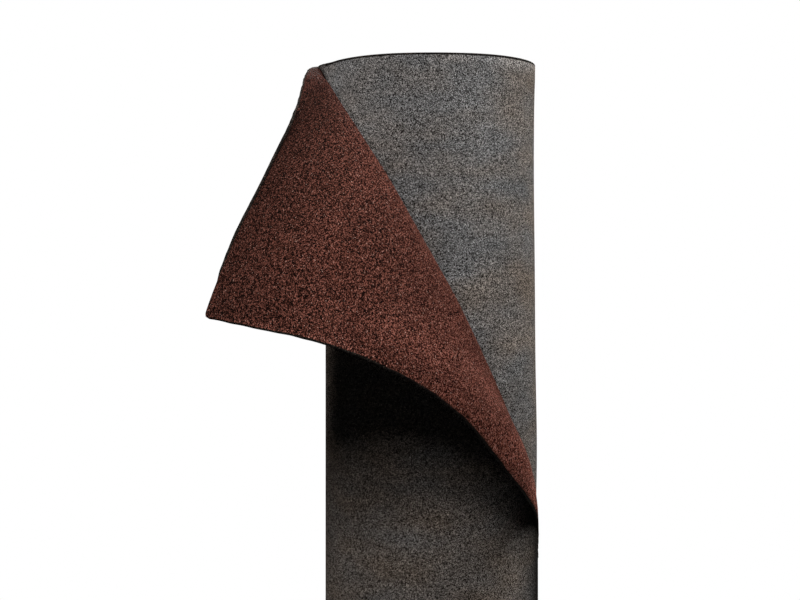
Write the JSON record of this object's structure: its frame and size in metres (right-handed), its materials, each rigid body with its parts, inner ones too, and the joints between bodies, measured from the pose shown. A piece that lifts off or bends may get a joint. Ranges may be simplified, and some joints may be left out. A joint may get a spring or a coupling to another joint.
{
  "type": "roll of roofing felt",
  "caption": "Upright roll of mineral-faced roofing felt with an open bore; the top corner of the loose end is peeled away and folded down over the front.",
  "frame": {"origin": "on the floor, at the middle of the box round the roll and its folded corner", "axes": "+Z along the roll's axis, up; +X to the side where the outer turn ends; -Y to the front, over which the corner is folded"},
  "size_m": [0.29, 0.3014, 1],
  "materials": {
    "felt": "rough, sanded grey back and dark red-brown mineral-granule face"
  },
  "bodies": {
    "root": {"felt_roll": "felt"}
  },
  "joints": []
}
